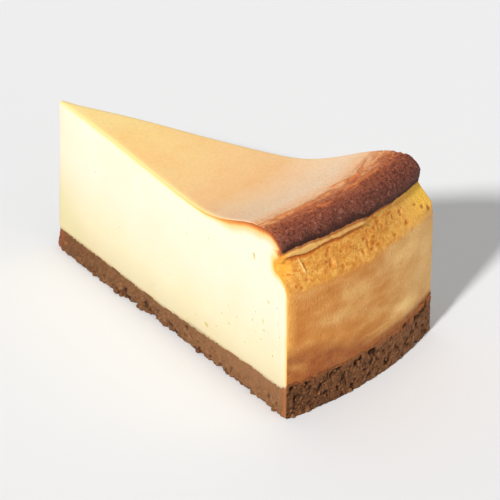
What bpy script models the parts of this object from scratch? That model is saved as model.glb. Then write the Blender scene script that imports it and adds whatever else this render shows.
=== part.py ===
"""A slice of baked cheesecake: a cream cheese filling on a pressed biscuit base.

The slice is a wedge cut from a round cake. Its tip points along -X, the baked outer
wall of the cake faces +X, and the two cut faces lean 16 degrees to either side of the
XZ plane. The base stands on Z = 0. Sizes are in metres.
"""

import math

import bpy
from mathutils import Vector, noise

# ---- the whole cake -------------------------------------------------------------
CAKE_RADIUS = 0.1000        # outer wall of the cake
WEDGE_ANGLE = math.radians(32.0)
TIP_FILLET = 0.00025       # the knife leaves the point of the wedge slightly blunt

# ---- top of the filling ---------------------------------------------------------
HEIGHT_CENTRE = 0.0413      # at the middle of the cake, which is the slice's tip
CENTRE_DIP = 0.0023         # fall from the middle to the ring-shaped hollow
HOLLOW_RADIUS = 0.0600
CREST_RADIUS = 0.0915       # top of the raised, browned rim
HEIGHT_CREST = 0.0470
RISE_POWER = 1.2            # the rise starts gently and steepens towards the rim

# ---- the browned lip, the crack under it, and the shoulder ------------------------
LIP_RADIUS = 0.0972
LIP_HEIGHT = 0.0432
CRACK_RADIUS = 0.0953
CRACK_TOP = 0.0400
CRACK_BOTTOM = 0.0381
SHOULDER_HEIGHT = 0.0315    # the straight wall ends here and curves in to the crack

# ---- the biscuit base -----------------------------------------------------------
BASE_THICKNESS = 0.0052     # at the tip
BASE_THICKNESS_RIM = 0.0074 # just inside the outer wall
BASE_CLIMB = 0.0016         # crumb pressed up into the corner of the tin
BASE_CLIMB_WIDTH = 0.0040
JOIN_GAP = 0.0003           # between the faces of base and filling
CRUMB_RELIEF = 0.00055      # how far the base's sides stand in and out
CHIP_DEPTH = 0.0019         # pieces broken out along the bottom edge

# ---- mesh steps -----------------------------------------------------------------
ACROSS = 20                 # from one cut face to the other
ALONG = 34                  # from the tip to the outer wall
BASE_LEVELS = 4

HALF = WEDGE_ANGLE / 2
TANGENT = TIP_FILLET / math.tan(HALF)          # where the fillet meets the cut faces
FILLET_CENTRE = TIP_FILLET / math.sin(HALF)


def smooth(t):
    t = min(1.0, max(0.0, t))
    return t * t * (3 - 2 * t)


def wave(x, y, z, size, seed):
    """Smooth unevenness between -1 and 1, with bumps about size metres across."""
    return noise.noise(Vector((x / size + seed * 17.3, y / size - seed * 9.1, z / size + seed * 4.7)))


def plan(r, u):
    """Plan position of the point at radius r, with u from -1 to 1 across the wedge."""
    if r <= TANGENT * 1.0001:                  # the blunt tip, a small arc
        turn = u * (math.pi / 2 - HALF)
        return (FILLET_CENTRE - TIP_FILLET * math.cos(turn), TIP_FILLET * math.sin(turn))
    return r * math.cos(u * HALF), r * math.sin(u * HALF)


def top_height(r):
    """Height of the filling's top at radius r, out to the crest of the rim."""
    if r <= HOLLOW_RADIUS:
        return HEIGHT_CENTRE - CENTRE_DIP * smooth(r / HOLLOW_RADIUS)
    low = HEIGHT_CENTRE - CENTRE_DIP
    t = min(1.0, (r - HOLLOW_RADIUS) / (CREST_RADIUS - HOLLOW_RADIUS))
    return low + (HEIGHT_CREST - low) * smooth(t ** RISE_POWER)


def join_height(r, x, y):
    """Top of the biscuit base."""
    even = BASE_THICKNESS + (BASE_THICKNESS_RIM - BASE_THICKNESS) * smooth((r - 0.040) / 0.056)
    climb = BASE_CLIMB * max(0.0, 1 - (CAKE_RADIUS - r) / BASE_CLIMB_WIDTH) ** 2
    return even + climb + 0.00030 * wave(x, y, 0.0, 0.011, 3)


def radii(count):
    """Radii of the stations from tip to wall, closer together near the wall."""
    return [TANGENT + (CAKE_RADIUS - TANGENT) * (1 - (1 - i / count) ** 1.25) for i in range(count + 1)]


def rim_profile():
    """(radius, height) from the foot of the outer wall up to the crest."""
    points = []
    for i in range(9):                                      # the straight wall
        points.append((CAKE_RADIUS, None if i == 0 else 0.0100 + (SHOULDER_HEIGHT - 0.0100) * i / 8))
    a, b = CAKE_RADIUS - CRACK_RADIUS, CRACK_BOTTOM - SHOULDER_HEIGHT
    for i in range(1, 8):                                   # the shoulder
        turn = math.pi / 2 * i / 7
        points.append((CRACK_RADIUS + a * math.cos(turn), SHOULDER_HEIGHT + b * math.sin(turn)))
    points.append((CRACK_RADIUS - 0.0003, (CRACK_BOTTOM + CRACK_TOP) / 2))
    for i in range(4):                                      # the underside of the lip
        t = i / 4
        points.append((CRACK_RADIUS + (LIP_RADIUS - CRACK_RADIUS) * math.sin(t * math.pi / 2),
                       CRACK_TOP + (LIP_HEIGHT - CRACK_TOP) * (1 - math.cos(t * math.pi / 2))))
    for i in range(9):                                      # over the lip to the crest
        turn = math.pi / 2 * i / 8
        points.append((CREST_RADIUS + (LIP_RADIUS - CREST_RADIUS) * math.cos(turn),
                       LIP_HEIGHT + (HEIGHT_CREST - LIP_HEIGHT) * math.sin(turn)))
    return points


def rim_unevenness(r, z, u):
    """The lip and shoulder wander a little along the rim. It only moves points in and out and up and down."""
    y = r * math.sin(u * HALF)
    near_lip = smooth((z - 0.0330) / 0.0080) * smooth((r - 0.0840) / 0.0080)
    wall = smooth((r - 0.0900) / 0.0080) * (1 - near_lip)
    dr = near_lip * 0.00055 * wave(y, z, 0.0, 0.0090, 5) + wall * 0.00030 * wave(y, z * 0.6, 0.0, 0.0140, 6)
    dz = near_lip * 0.00045 * wave(y, 0.3, r, 0.0120, 7)
    return dr, dz


def filling_mesh():
    stations = radii(ALONG)
    inner = [CREST_RADIUS - (CREST_RADIUS - TANGENT) * (i / 30) for i in range(1, 31)]
    verts, faces = [], []
    rings = []
    for j in range(ACROSS + 1):
        u = -1 + 2 * j / ACROSS
        ring = []
        for r in stations:                                   # underside, on the base
            x, y = plan(r, u)
            ring.append((x, y, join_height(r, x, y) + JOIN_GAP))
        for r, z in rim_profile()[1:]:                       # outer wall, crack and lip
            dr, dz = rim_unevenness(r, z, u)
            x, y = plan(r + dr, u)
            ring.append((x, y, z + dz))
        for r in inner:                                      # top, back to the tip
            dz = rim_unevenness(r, top_height(r), u)[1]
            x, y = plan(r, u)
            ring.append((x, y, top_height(r) + dz + 0.00012 * wave(x, y, 0.0, 0.016, 8)))
        low, high = ring[0], ring[-1]                        # down the tip
        for i in range(1, 7):
            t = i / 7
            ring.append((low[0], low[1], high[2] + (low[2] - high[2]) * t))
        rings.append(range(len(verts), len(verts) + len(ring)))
        verts += ring
    count = len(rings[0])
    for a, b in zip(rings, rings[1:]):
        for k in range(count):
            n = (k + 1) % count
            faces.append((a[k], a[n], b[n], b[k])[::-1])
    faces.append(tuple(rings[0]))                            # the two cut faces
    faces.append(tuple(reversed(rings[-1])))
    return verts, faces


def base_mesh():
    stations = radii(ALONG)
    verts, faces, index = [], [], {}

    def point(i, j, k):
        if (i, j, k) in index:
            return index[i, j, k]
        u = -1 + 2 * j / ACROSS
        r = stations[i]
        x, y = plan(r, u)
        top = join_height(r, x, y)
        level = k / BASE_LEVELS
        z = top * level
        side = Vector((0.0, 0.0, 0.0))                       # outward across the sides
        if j == 0:
            side += Vector((-math.sin(HALF), -math.cos(HALF), 0.0))
        if j == ACROSS:
            side += Vector((-math.sin(HALF), math.cos(HALF), 0.0))
        if i == ALONG:
            side += Vector((math.cos(u * HALF), math.sin(u * HALF), 0.0))
        if i == 0 and 0 < j < ACROSS:
            side += Vector((-1.0, 0.0, 0.0))
        if side.length and k < BASE_LEVELS:
            side.normalize()
            free = 1 - level ** 3
            lumps = wave(x, y, z * 1.6, 0.0042, 11) + 0.5 * wave(x, y, z * 1.6, 0.0021, 12)
            out = CRUMB_RELIEF * free * (lumps + 0.10)
            if k == 0:                                       # chips out of the bottom edge
                chip = max(0.0, wave(x, y, 0.0, 0.0060, 13) + 0.25)
                out -= CHIP_DEPTH * min(1.0, chip * 1.2) * min(1.0, r / 0.012)
            shift = side * max(out, -0.35 * TIP_FILLET) if i == 0 else side * out
            x, y = x + shift.x, y + shift.y
            if 0 < k < BASE_LEVELS:
                z += 0.00035 * wave(x, y, z, 0.0035, 14)
        index[i, j, k] = len(verts)
        verts.append((x, y, z))
        return index[i, j, k]

    for i in range(ALONG):                                   # underside and top
        for j in range(ACROSS):
            faces.append((point(i, j, 0), point(i, j + 1, 0), point(i + 1, j + 1, 0), point(i + 1, j, 0)))
            faces.append((point(i, j, BASE_LEVELS), point(i + 1, j, BASE_LEVELS),
                          point(i + 1, j + 1, BASE_LEVELS), point(i, j + 1, BASE_LEVELS)))
    for k in range(BASE_LEVELS):
        for i in range(ALONG):                               # the two cut faces
            faces.append((point(i, 0, k), point(i + 1, 0, k), point(i + 1, 0, k + 1), point(i, 0, k + 1)))
            faces.append((point(i, ACROSS, k), point(i, ACROSS, k + 1),
                          point(i + 1, ACROSS, k + 1), point(i + 1, ACROSS, k)))
        for j in range(ACROSS):                              # tip and outer wall
            faces.append((point(0, j, k), point(0, j, k + 1), point(0, j + 1, k + 1), point(0, j + 1, k)))
            faces.append((point(ALONG, j, k), point(ALONG, j + 1, k),
                          point(ALONG, j + 1, k + 1), point(ALONG, j, k + 1)))
    return verts, faces


def material(name, colour, roughness):
    made = bpy.data.materials.new(name)
    made.use_nodes = True
    shader = made.node_tree.nodes["Principled BSDF"]
    shader.inputs["Base Color"].default_value = (*colour, 1.0)
    shader.inputs["Roughness"].default_value = roughness
    shader.inputs["Metallic"].default_value = 0.0
    return made


def solid(name, data, finish, parent):
    mesh = bpy.data.meshes.new(name)
    mesh.from_pydata(data[0], [], data[1])
    mesh.materials.append(finish)
    mesh.shade_smooth()
    mesh.set_sharp_from_angle(angle=math.radians(35))
    made = bpy.data.objects.new(name, mesh)
    bpy.context.scene.collection.objects.link(made)
    made.parent = parent
    return made


def main():
    for old in list(bpy.data.objects):
        bpy.data.objects.remove(old)
    filling, base = filling_mesh(), base_mesh()
    xs = [v[0] for v in filling[0] + base[0]]
    ys = [v[1] for v in filling[0] + base[0]]
    slice_ = bpy.data.objects.new("slice", None)             # origin: middle of the slice, on the plate
    bpy.context.scene.collection.objects.link(slice_)
    slice_.location = (-(min(xs) + max(xs)) / 2, -(min(ys) + max(ys)) / 2, 0.0)
    solid("cheese_filling", filling, material("baked cream cheese", (0.93, 0.86, 0.63), 0.45), slice_)
    solid("biscuit_base", base, material("pressed biscuit crumb", (0.30, 0.15, 0.065), 0.85), slice_)


main()
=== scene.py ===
"""The looks of a slice of baked cheesecake, made round its CAD frame.

The shapes are worked out in millimetres about the centre of the whole cake, with r the
distance from that centre, a the arc length along the outer wall (the same angle at every
radius) and z the height. They become metres in the row frame when a mesh is made.
"""

import math

import bpy
import numpy as np
from mathutils import Matrix, Vector
from mathutils.geometry import delaunay_2d_cdt


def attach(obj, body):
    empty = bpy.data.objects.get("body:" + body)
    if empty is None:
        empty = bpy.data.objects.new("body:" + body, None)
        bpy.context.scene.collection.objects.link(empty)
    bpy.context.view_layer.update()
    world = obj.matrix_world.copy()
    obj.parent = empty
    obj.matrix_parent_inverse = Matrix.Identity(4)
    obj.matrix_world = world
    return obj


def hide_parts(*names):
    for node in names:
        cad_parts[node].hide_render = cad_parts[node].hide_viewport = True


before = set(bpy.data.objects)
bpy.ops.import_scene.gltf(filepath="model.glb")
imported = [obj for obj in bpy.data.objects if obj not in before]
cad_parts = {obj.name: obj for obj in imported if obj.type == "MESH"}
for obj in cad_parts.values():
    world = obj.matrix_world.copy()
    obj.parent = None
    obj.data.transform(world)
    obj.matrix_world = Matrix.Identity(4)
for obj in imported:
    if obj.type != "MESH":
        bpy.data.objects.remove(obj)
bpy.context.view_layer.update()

CENTRE = np.array([-0.050329, -0.000108, 0.0])   # the whole cake's centre in the row frame

# ---- the slice, as in the CAD, in millimetres --------------------------------------
R_CAKE = 100.0
HALF = math.radians(16.0)
TIP_R = 0.25
TANGENT = TIP_R / math.tan(HALF)
H_CENTRE, DIP, R_HOLLOW, R_CREST, H_CREST = 41.3, 2.3, 60.0, 91.5, 47.0
R_LIP, H_LIP = 97.2, 43.2
R_CRACK, H_CRACK_TOP, H_CRACK, H_SHOULDER = 95.3, 40.0, 38.1, 31.5
SINK = 0.25                                      # the baked filling has sunk into the crumb below it
EDGE = 0.55                                      # rounding of the cut edges


# ---- noise ------------------------------------------------------------------------
def _hash(x, y, z, seed):
    h = ((x * 73856093) ^ (y * 19349663) ^ (z * 83492791) ^ (seed * 49979687)) & 0xFFFFFFFF
    for _ in range(2):
        h = ((h ^ (h >> 16)) * 0x45D9F3B) & 0xFFFFFFFF
    return h ^ (h >> 16)


def noise(p, size, seed=0):
    """Smooth noise from about -1 to 1 at points p (n, 3), with bumps about size apart."""
    q = np.asarray(p, float) / size
    i = np.floor(q).astype(np.int64)
    f = q - i
    w = f * f * f * (f * (f * 6 - 15) + 10)
    out = np.zeros(len(q))
    for dx in (0, 1):
        for dy in (0, 1):
            for dz in (0, 1):
                h = _hash(i[:, 0] + dx, i[:, 1] + dy, i[:, 2] + dz, seed)
                g = (((h & 1023) / 511.5 - 1) * (f[:, 0] - dx) + (((h >> 10) & 1023) / 511.5 - 1) * (f[:, 1] - dy)
                     + (((h >> 20) & 1023) / 511.5 - 1) * (f[:, 2] - dz))
                out += (g * np.where(dx, w[:, 0], 1 - w[:, 0]) * np.where(dy, w[:, 1], 1 - w[:, 1])
                        * np.where(dz, w[:, 2], 1 - w[:, 2]))
    return out * 1.4


def fbm(p, size, octaves=3, seed=0, gain=0.5):
    out, amp, total = 0.0, 1.0, 0.0
    for k in range(octaves):
        out = out + amp * noise(p, size / 2 ** k, seed + 31 * k)
        total += amp
        amp *= gain
    return out / total


def cells(p, size, seed=0):
    """Distance to the nearest and second nearest of scattered points, over size, and the nearest one's own number from 0 to 1."""
    q = np.asarray(p, float) / size
    i = np.floor(q).astype(np.int64)
    f = q - i
    near, second, own = np.full(len(q), 9.0), np.full(len(q), 9.0), np.zeros(len(q))
    for dx in (-1, 0, 1):
        for dy in (-1, 0, 1):
            for dz in (-1, 0, 1):
                h = _hash(i[:, 0] + dx, i[:, 1] + dy, i[:, 2] + dz, seed)
                d = np.sqrt((dx + (h & 1023) / 1023 - f[:, 0]) ** 2 + (dy + ((h >> 10) & 1023) / 1023 - f[:, 1]) ** 2
                            + (dz + ((h >> 20) & 1023) / 1023 - f[:, 2]) ** 2)
                closer = d < near
                second = np.where(closer, near, np.minimum(second, d))
                own = np.where(closer, ((h >> 7) & 1023) / 1023, own)
                near = np.where(closer, d, near)
    return near, second, own


def smooth(x, lo=0.0, hi=1.0):
    t = np.clip((np.asarray(x, float) - lo) / (hi - lo), 0, 1)
    return t * t * (3 - 2 * t)


def bell(x, mid, width):
    return np.exp(-((np.asarray(x, float) - mid) / width) ** 2)


# ---- the slice's measures -----------------------------------------------------------
def top_height(r):
    r = np.asarray(r, float)
    inner = H_CENTRE - DIP * smooth(r / R_HOLLOW)
    low = H_CENTRE - DIP
    t = np.clip((r - R_HOLLOW) / (R_CREST - R_HOLLOW), 0, 1) ** 1.2
    return np.where(r <= R_HOLLOW, inner, low + (H_CREST - low) * smooth(t))


def join_height(r, a):
    even = 5.2 + 2.2 * smooth((r - 40) / 56)
    uneven = 0.28 * noise(np.stack(np.broadcast_arrays(r * 1.0, a * 1.0, 0.0), -1).reshape(-1, 3), 5.5, 21).reshape(np.shape(r))
    return even + 1.6 * np.clip(1 - (R_CAKE - r) / 4, 0, 1) ** 2 + 0.9 * smooth(a, 4, 27) * smooth(r, 90, 100) + uneven


def rim_profile():
    """(r, z) from the foot of the wall over the lip and the crest, inwards to r = 84, as a fine line."""
    pts = [(R_CAKE, z) for z in np.linspace(0, H_SHOULDER, 60)]
    for t in np.linspace(0, math.pi / 2, 40)[1:]:
        pts.append((R_CRACK + (R_CAKE - R_CRACK) * math.cos(t), H_SHOULDER + (H_CRACK - H_SHOULDER) * math.sin(t)))
    for t in np.linspace(0, 1, 8)[1:]:
        pts.append((R_CRACK - 0.3 * math.sin(t * math.pi), H_CRACK + (H_CRACK_TOP - H_CRACK) * t))
    for t in np.linspace(0, math.pi / 2, 20)[1:]:
        pts.append((R_CRACK + (R_LIP - R_CRACK) * math.sin(t), H_CRACK_TOP + (H_LIP - H_CRACK_TOP) * (1 - math.cos(t))))
    for t in np.linspace(0, math.pi / 2, 40)[1:]:
        pts.append((R_CREST + (R_LIP - R_CREST) * math.cos(t), H_LIP + (H_CREST - H_LIP) * math.sin(t)))
    for r in np.linspace(R_CREST, 84, 30)[1:]:
        pts.append((r, float(top_height(r))))
    return np.array(pts)


def place(r, a, z):
    """Cake coordinates to x, y, z in millimetres; a is the arc length at the outer wall."""
    t = np.asarray(a) / R_CAKE
    return np.stack([r * np.cos(t), r * np.sin(t), np.broadcast_to(z, np.shape(r))], -1)


A_EDGE = HALF * R_CAKE                            # arc length from the middle to a cut edge


def graded(n, edges=(0.0, 0.15, 0.35, 0.6, 0.9)):
    """Arc positions across the slice, closer together along both cut edges."""
    inner = np.linspace(-A_EDGE + 1.2, A_EDGE - 1.2, n)
    return np.concatenate([-A_EDGE + np.array(edges), inner, (A_EDGE - np.array(edges))[::-1]])


# ---- relief of the outer surfaces -----------------------------------------------------
def lip_fall(a):
    return 44.0 - 2.9 * smooth(a, -4, 26) - 0.6 * smooth(a, 22, 28) - 0.6 * bell(a, 0.5, 3.0) - 0.3 * bell(a, -28, 2.0)


def dark_edge(a):
    """Height of the ragged lower edge of the browned lip."""
    p = np.stack([a, a * 0, a * 0], -1)
    return lip_fall(a) + 0.34 * fbm(p, 4.2, 2, 71) + 0.20 * noise(p, 1.1, 72)


def crack_line(a):
    """Height of the crack between the lip's pale underside and the wall."""
    p = np.stack([a, a * 0, a * 0], -1)
    band = 1.95 + 0.75 * bell(a, -20.5, 3.2) - 0.30 * bell(a, -14.0, 2.6) + 0.25 * bell(a, -9.0, 2.5) - 0.5 * smooth(a, -5, 0)
    return lip_fall(a) - band + 0.30 * fbm(p, 3.2, 3, 73)


def crack_depth(a):
    return smooth(a, -27.6, -25.5) * (1 - smooth(a, -1.5, 0.6))


def rim_shift(r, a, z, full):
    """How far the profile moves in or out along the rim: the notch closes up, and the lip draws back at the far side."""
    under = np.exp(-(np.abs(z - 39.4) / 2.0) ** 3) * smooth(r, 94.2, 95.0) * (1 - smooth(r, 98.5, 100.0))
    lip = bell(z, 42.8, 3.2) * smooth(r, 93, 96) * smooth(z, 39.0, 40.5)
    crest = smooth(r, 84, 90) * smooth(z, 43.4, 46.0)
    drawn = lip * (0.8 * smooth(a, 0, 22) + 0.3 * smooth(a, 20, 28)) + 0.5 * crest * smooth(a, 6, 27)
    far = smooth(a, 6, 27)
    slope = (1 - far) * (98.3 - 0.33 * (z - 36.8)) + far * (100.0 - 0.80 * (z - 35.0))
    rise = np.clip(slope - (r - drawn), 0, 4) * full * smooth(z, 34.0, 36.0) * (1 - smooth(z, 42.0, 43.2)) * (r > 94)
    return rise - 0.35 * under * (1 - full) - drawn


RIDGES = ((-26.0, 0.5, 87.4, 86.4), (1.0, 13.0, 85.0, 87.2), (0.5, 17.0, 88.9, 90.4), (-11.0, -5.0, 89.6, 91.2), (11.5, 22.0, 86.8, 84.6))


def rim_relief(r, a, z):
    """Outward relief and the colour masks of wall, lip and crest, for points on the even profile."""
    p = np.stack([a, r, z], -1)
    edge, line = dark_edge(a), crack_line(a)
    outer = smooth(r, 91.5, 94)                   # nothing of the wall's relief gets on to the top
    dark = smooth(z, edge - 0.22, edge + 0.22) * outer + (1 - outer)
    wall = 1 - dark
    porous_foot = 33.4 + 1.2 * noise(np.stack([a, a * 0, a * 0], -1), 9, 74) + 0.5 * noise(np.stack([a, a * 0, a * 0], -1), 2.2, 75)
    porous = smooth(z + 0.9 * fbm(p, 1.8, 3, 99), porous_foot - 1.3, porous_foot + 1.5) * wall
    skin = wall * (1 - porous)

    h = np.zeros(len(r))
    # the lip: thick grainy skin, a little swollen, ending in a ragged edge
    grain = fbm(p, 1.3, 3, 81)
    h += dark * outer * (0.22 + 0.30 * fbm(p, 5.0, 2, 82) + 0.20 * grain)
    f1, f2, own = cells(p * np.array([1, 1, 1.0]), 0.95, 83)
    h += dark * smooth(r, 90, 94) * 0.20 * (0.55 - f1)
    # the pale underside of the lip, hanging over the crack on one half
    strip = wall * smooth(z, line + 0.05, line + 0.45)
    hang = crack_depth(a) * (1 - 0.4 * smooth(a, 2, 10))
    h += strip * hang * (0.42 + 0.16 * noise(p, 4.2, 84) + 0.30 * bell(a, -2.3, 1.3))
    h -= 0.22 * wall * bell(z, edge - 0.25, 0.30)
    groove = np.exp(-(np.abs(z - line + 0.15) / 0.40) ** 2.2) * crack_depth(a) * wall
    h -= 0.30 * groove
    # the crack's band, for the colour: painted darker as shade in the recess
    crack = np.exp(-(np.abs(z - line + 0.45 + 0.25 * noise(p, 2.1, 79)) / (0.62 + 0.22 * noise(p, 3.0, 78))) ** 2.2) * crack_depth(a) * wall
    # a band just under the lip's dark edge, for the colour: partly browning, partly painted shade from the overhang
    scorch = np.exp(-(np.abs(z - edge + 0.10) / (0.55 + 0.25 * noise(p, 2.4, 77))) ** 2) * wall
    # the lip's lower border, for the colour: partly burnt skin, partly painted shade under the curl
    brim = np.exp(-(np.abs(z - edge - 0.35) / (0.95 + 0.35 * noise(p, 2.0, 76))) ** 2.4) * dark * outer * smooth(r, 94.0, 95.5)
    ridge = np.zeros(len(r))
    for a0, a1, r0, r1 in RIDGES:
        path = r0 + (r1 - r0) * (a - a0) / (a1 - a0) + 0.5 * noise(np.stack([a, a * 0 + r0, a * 0], -1), 3.1, 69)
        on = smooth(a, a0 - 0.5, a0 + 1.5) * (1 - smooth(a, a1 - 1.5, a1 + 0.5)) * smooth(z, 44, 45) * smooth(r, 84, 84.6)
        ridge = np.maximum(ridge, bell(r, path, 0.42) * on)
        h += (0.32 * bell(r, path, 0.45) - 0.22 * bell(r, path + 1.05, 0.5)) * on
    # the porous band below it
    f1, f2, own = cells(p, 1.9, 85)
    pore = smooth(0.42 - f1, 0.0, 0.30) * smooth(own, 0.45, 0.75)
    f1b, _, ownb = cells(p, 1.0, 86)
    pore = np.maximum(pore, 0.6 * smooth(0.36 - f1b, 0, 0.25) * smooth(ownb, 0.5, 0.8))
    rough = fbm(p * np.array([0.8, 1, 1.25]), 2.6, 4, 87, 0.58)
    h += porous * (0.17 * rough - 0.24 * pore)
    # the far top corner is torn and fuller
    # a vertical tear, and slivers of skin that stand off beside it
    tear = bell(a, -13.9 + 0.25 * np.sin(z * 1.4), 0.55) * smooth(z, 35.6, 36.4) * (1 - smooth(z, 37.6, 38.6)) * wall
    lipped = bell(a, -12.5 + 0.25 * np.sin(z * 1.4), 0.40) * smooth(z, 34.0, 35.0) * (1 - smooth(z, 37.6, 38.6)) * wall
    h += -0.40 * tear + 0.18 * lipped
    sliver = bell(a, -22.9 + 0.30 * (40.6 - z), 0.36) * smooth(z, 36.4, 37.2) * (1 - smooth(z, 40.6, 41.4)) * wall
    h += 0.60 * sliver - 0.25 * bell(a, -21.9 + 0.30 * (40.6 - z), 0.4) * smooth(z, 37.0, 38) * (1 - smooth(z, 40.0, 41)) * wall
    for a0, z0, wa, wz, d in ((-0.6, 37.2, 0.35, 1.1, -0.35), (0.3, 35.5, 0.9, 0.35, -0.35), (2.6, 35.6, 1.1, 0.32, -0.30), (-2.9, 35.8, 0.3, 0.9, -0.35),
                              (15.5, 35.6, 0.8, 0.35, -0.4), (25.6, 35.2, 0.7, 0.5, -0.7), (-21.6, 35.6, 0.5, 0.5, -0.35),
                              (9.4, 40.1, 1.3, 0.35, -0.40), (4.3, 40.0, 0.7, 0.7, -0.40), (-6.5, 37.5, 1.6, 0.8, 0.25), (2.6, 38.4, 1.4, 0.8, 0.30)):
        m = np.exp(-(((a - a0) / wa) ** 2 + ((z - z0) / wz) ** 2))
        h += d * m * wall
        # dents are darkened in the colour as painted shade
        if d < 0:
            pore = np.maximum(pore, m * 0.9)
    # the smooth baked skin of the wall
    h += skin * (0.16 * noise(p, 13, 88) + 0.07 * fbm(p * np.array([0.55, 1, 1.6]), 3.4, 2, 89))
    h += 0.08 * bell(z, porous_foot, 0.8) * wall * (0.6 + 0.8 * noise(p, 2.5, 90))
    f1, _, own = cells(p * np.array([1, 0.0, 1]) + np.array([0, 0.5, 0]), 1.15, 91)
    bliss = smooth(0.30 - f1, 0, 0.22) * smooth(own, 0.35, 0.6)
    h += 0.16 * bliss * bell(z, 20.6, 1.0) * bell(a, -0.5, 5.5) * skin
    # wrinkles round the crest, where the skin turned from tan to brown
    lines = 1 - 2.2 * np.abs(noise(np.stack([a * 0.13 + 0.05 * r, r * 0.62 + 0.55 * noise(p, 7, 92), z * 0], -1), 1.0, 93))
    fine = noise(np.stack([a * 0.40 + 0.2 * r, r * 1.7 + 0.5 * noise(p, 3, 94), z * 0], -1), 1.0, 95)
    band = smooth(r, 83.5, 87.0) * (1 - smooth(r, 93.0, 96.0)) * smooth(z, 43.0, 44.5)
    h += band * (0.32 * lines + 0.16 * fine)
    # the wall's marbling: paler, honey-coloured places and the darker foot
    pale = np.zeros(len(r))
    for a0, z0, wa, wz, m in ((-12.5, 22.5, 6.5, 2.6, 0.8), (-9.0, 28.0, 5.0, 3.6, 0.65), (12.0, 28.0, 9.0, 3.4, 0.7), (23.0, 24.0, 4.0, 5.5, 0.6),
                              (13.0, 14.4, 8.0, 2.1, 1.0), (2.0, 13.0, 7.5, 0.5, 0.5), (-24.5, 13.0, 2.5, 1.6, 0.5), (3.0, 19.0, 4.0, 2.5, 0.25)):
        pale = np.maximum(pale, m * np.exp(-(((a - a0 + 1.2 * noise(p, 5, 96)) / wa) ** 2 + ((z - z0 + 0.9 * noise(p, 4, 97)) / wz) ** 2) ** 1.3))
    deep = np.maximum(smooth(19.0 - 0.20 * (a + 20) + 1.5 * noise(p, 7, 98) - z, 0, 5.0) * (1 - 0.60 * smooth(a, -8, 8)),
                      1.0 * smooth(12.3 - z, 0, 2.0))
    masks = dict(wrinkle=band * (0.6 * lines + 0.5 * fine), pale=pale * skin, deep=deep * (1 - pale * 0.8) * skin, dark=dark, porous=porous, pore=np.clip(pore * porous, 0, 1) * (1 - strip),
                 crack=np.clip(crack + 0.9 * tear, 0, 1), scorch=np.clip(scorch, 0, 1), ridge=ridge, brim=np.clip(brim, 0, 1), sliver=np.clip(sliver + 0.45 * lipped, 0, 1),
                 strip=strip * np.clip(hang * 1.3, 0, 1) * smooth(hang, 0.2, 0.6), blister=bliss * bell(z, 20.6, 1.0) * bell(a, -0.5, 5.5) * skin)
    return h, masks


def top_relief(r, a):
    """Height added to the smooth top, inside the crest."""
    q = place(r, a, 0 * r)
    return 0.50 * smooth(r, 3, 28) * (1 - smooth(r, 80, 90)) + 0.10 * noise(q, 19, 61) + 0.035 * fbm(q, 5, 2, 62) * smooth(r, 5, 25) + 0.03 * smooth(r, 60, 80) * fbm(q, 1.6, 2, 63)


# ---- mesh by regions that share their edges --------------------------------------------
class Shape:
    """Vertices and faces, with named values for each vertex."""

    def __init__(self):
        self.points, self.values, self.faces, self.count = [], [], [], 0

    def add(self, points, **values):
        points = np.asarray(points, float).reshape(-1, 3)
        index = np.arange(self.count, self.count + len(points))
        self.points.append(points)
        self.values.append((len(points), values))
        self.count += len(points)
        return index

    def grid(self, index, flip=False):
        a, b, c, d = index[:-1, :-1], index[:-1, 1:], index[1:, 1:], index[1:, :-1]
        f = np.stack([a, b, c, d], -1).reshape(-1, 4)
        self.faces += (f[:, ::-1] if flip else f).tolist()

    def value(self, name):
        return np.concatenate([np.broadcast_to(np.asarray(v.get(name, 0.0), float).ravel()
                                               if np.ndim(v.get(name, 0.0)) else float(v.get(name, 0.0)), (n,))
                               for n, v in self.values])

    def names(self):
        return sorted({k for _, v in self.values for k in v})


def inside(poly, q):
    hit = np.zeros(len(q), bool)
    for (x0, y0), (x1, y1) in zip(poly, np.roll(poly, -1, 0)):
        if y0 == y1:
            continue
        over = (q[:, 1] > min(y0, y1)) & (q[:, 1] <= max(y0, y1))
        hit ^= over & (q[:, 0] < x0 + (q[:, 1] - y0) * (x1 - x0) / (y1 - y0))
    return hit


def nearest(poly, q, closed=True):
    """Distance from q to the line poly, and the nearest point on it."""
    best, where = np.full(len(q), 1e9), np.zeros((len(q), 2))
    for p0, p1 in zip(poly if closed else poly[:-1], np.roll(poly, -1, 0) if closed else poly[1:]):
        d = p1 - p0
        t = np.clip(((q - p0) @ d) / max(d @ d, 1e-12), 0, 1)
        at = p0 + t[:, None] * d
        dist = np.hypot(*(q - at).T)
        m = dist < best
        best[m], where[m] = dist[m], at[m]
    return best, where


def hexes(x0, x1, y0, y1, step):
    rows = np.arange(y0, y1, step * 0.866)
    out = [np.stack([np.arange(x0 + (step / 2 if k % 2 else 0), x1, step), np.full(len(np.arange(x0 + (step / 2 if k % 2 else 0), x1, step)), y)], -1)
           for k, y in enumerate(rows)]
    return np.concatenate(out)


def fill(poly, interior):
    """Triangles of the area inside poly through the interior points. Indices count poly first."""
    pts = np.concatenate([poly, interior])
    n = len(poly)
    found = delaunay_2d_cdt([Vector(p) for p in pts], [], [list(range(n))], 1, 1e-5)
    if len(found[0]) != len(pts):
        origin = [o[0] if o else -1 for o in found[3]]
        assert min(origin) >= 0, "a crossing in an outline"
    else:
        origin = [o[0] for o in found[3]]
    tris = [[origin[i] for i in f] for f in found[2]]
    return tris


def along(profile, step):
    """Points at even steps along a fine line."""
    d = np.concatenate([[0], np.cumsum(np.hypot(*np.diff(profile, axis=0).T))])
    s = np.linspace(0, d[-1], int(d[-1] / step) + 1)
    return np.stack([np.interp(s, d, profile[:, 0]), np.interp(s, d, profile[:, 1])], -1)


def line_normals(p):
    """Outward normals (left-hand side turned out) of an open line of (r, z)."""
    t = np.gradient(p, axis=0)
    n = np.stack([t[:, 1], -t[:, 0]], -1)
    return n / np.maximum(np.hypot(*n.T), 1e-9)[:, None]


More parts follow.
